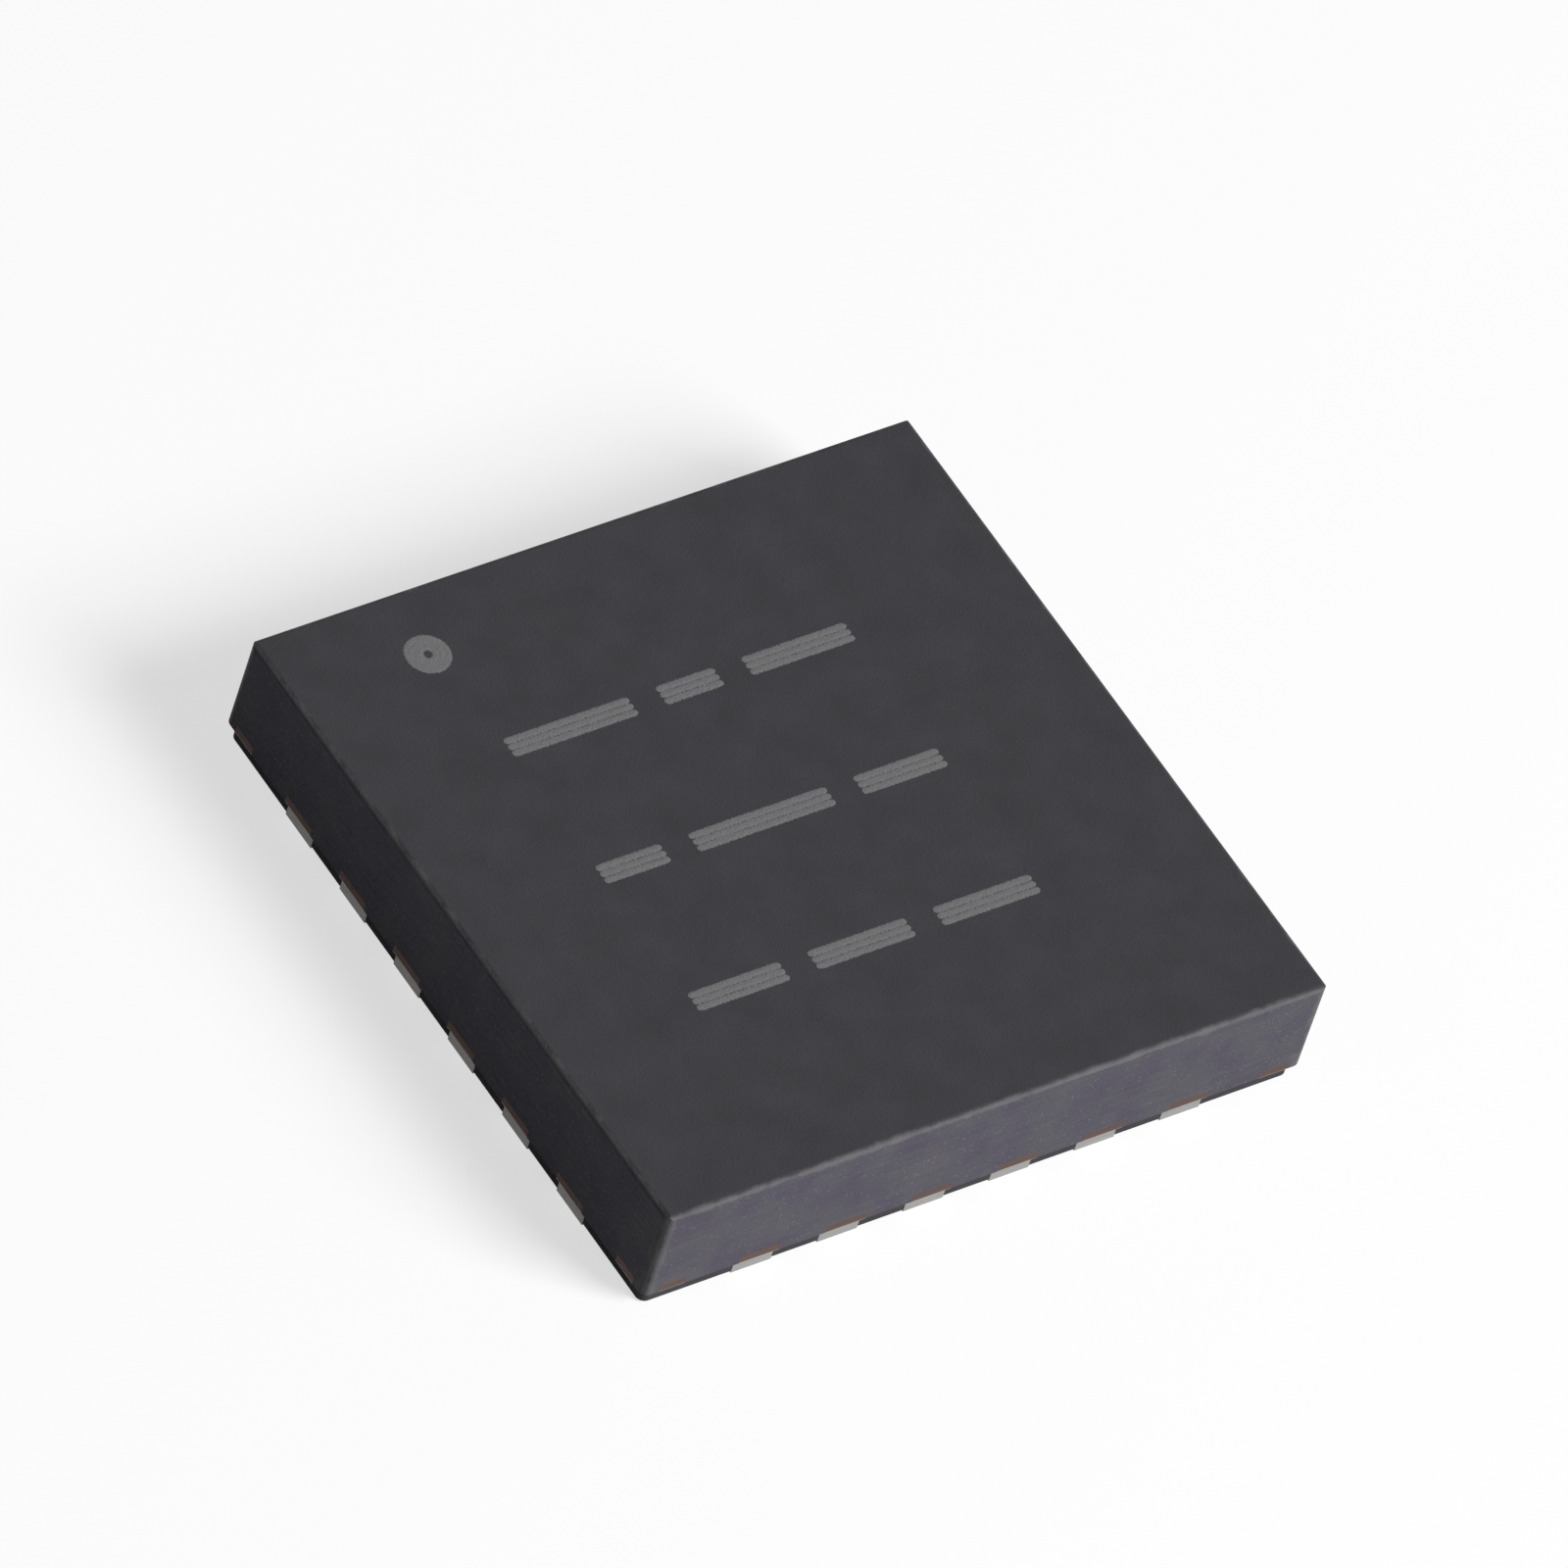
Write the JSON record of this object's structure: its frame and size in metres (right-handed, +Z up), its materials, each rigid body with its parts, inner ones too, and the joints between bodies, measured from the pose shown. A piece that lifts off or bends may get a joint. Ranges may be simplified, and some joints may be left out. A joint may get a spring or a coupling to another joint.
{
  "type": "sensor interface chip",
  "caption": "Flat square leadless chip package: a dark moulded body with sawn sides, solder terminals round its foot, an exposed pad below and a wired die inside.",
  "frame": {"origin": "middle of the seating plane, under the middle of the body", "axes": "+Z up from the board, +X along the marking on the top face, terminal 1 at the -X, +Y corner"},
  "size_m": [0.005, 0.005, 0.0009],
  "materials": {
    "mould_compound": "fine matt moulded epoxy with sawn sides",
    "plated_copper": "matt tin plating over copper, bare copper where sawn",
    "silver_epoxy": "cured silver-filled adhesive",
    "silicon": "polished silicon under a thin clear layer",
    "gold_wire": "bright drawn gold"
  },
  "bodies": {
    "root": {"moulded_body": "mould_compound", "die_paddle": "plated_copper", "die_attach": "silver_epoxy", "silicon_die": "silicon", "terminal_01": "plated_copper", "terminal_02": "plated_copper", "terminal_03": "plated_copper", "terminal_04": "plated_copper", "terminal_05": "plated_copper", "terminal_06": "plated_copper", "terminal_07": "plated_copper", "terminal_08": "plated_copper", "terminal_09": "plated_copper", "terminal_10": "plated_copper", "terminal_11": "plated_copper", "terminal_12": "plated_copper", "terminal_13": "plated_copper", "terminal_14": "plated_copper", "terminal_15": "plated_copper", "terminal_16": "plated_copper", "terminal_17": "plated_copper", "terminal_18": "plated_copper", "terminal_19": "plated_copper", "terminal_20": "plated_copper", "terminal_21": "plated_copper", "terminal_22": "plated_copper", "terminal_23": "plated_copper", "terminal_24": "plated_copper", "bond_wire_01": "gold_wire", "bond_wire_02": "gold_wire", "bond_wire_03": "gold_wire", "bond_wire_04": "gold_wire", "bond_wire_05": "gold_wire", "bond_wire_06": "gold_wire", "bond_wire_07": "gold_wire", "bond_wire_08": "gold_wire", "bond_wire_09": "gold_wire", "bond_wire_10": "gold_wire", "bond_wire_11": "gold_wire", "bond_wire_12": "gold_wire", "bond_wire_13": "gold_wire", "bond_wire_14": "gold_wire", "bond_wire_15": "gold_wire", "bond_wire_16": "gold_wire", "bond_wire_17": "gold_wire", "bond_wire_18": "gold_wire", "bond_wire_19": "gold_wire", "bond_wire_20": "gold_wire", "bond_wire_21": "gold_wire", "bond_wire_22": "gold_wire", "bond_wire_23": "gold_wire", "bond_wire_24": "gold_wire"}
  },
  "joints": []
}
